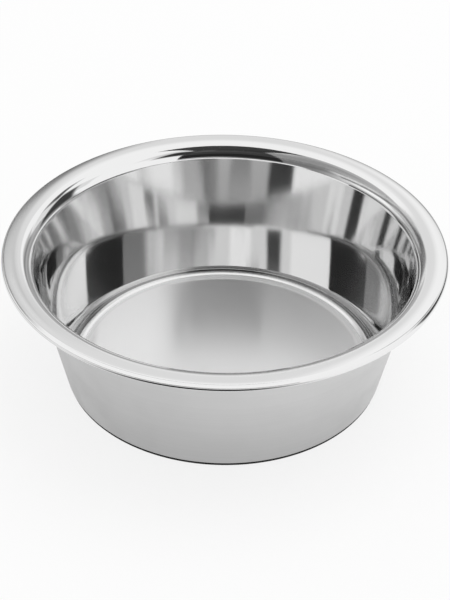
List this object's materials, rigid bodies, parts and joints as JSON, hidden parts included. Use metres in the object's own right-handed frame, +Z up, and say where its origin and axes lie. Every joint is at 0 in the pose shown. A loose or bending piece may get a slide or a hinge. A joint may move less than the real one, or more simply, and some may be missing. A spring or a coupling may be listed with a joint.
{
  "type": "pet feeding bowl",
  "caption": "Round drawn-steel feeding bowl with a leaning mirror wall, a wide domed rim with a rolled edge, and a rubber anti-slip ring under its floor.",
  "frame": {"origin": "on the ground under the middle of the bowl", "axes": "+Z up along the bowl's axis of revolution; X and Y are any two level directions, with -Y towards the viewer of the picture"},
  "size_m": [0.21, 0.21, 0.069],
  "materials": {
    "steel": "stainless sheet, mirror-polished wall and rim, satin floor and satin outside",
    "ring_rubber": "matt black moulded rubber",
    "adhesive": "cured contact adhesive"
  },
  "bodies": {
    "root": {"bowl_shell": "steel", "rubber_ring": "ring_rubber", "ring_adhesive": "adhesive"}
  },
  "joints": []
}
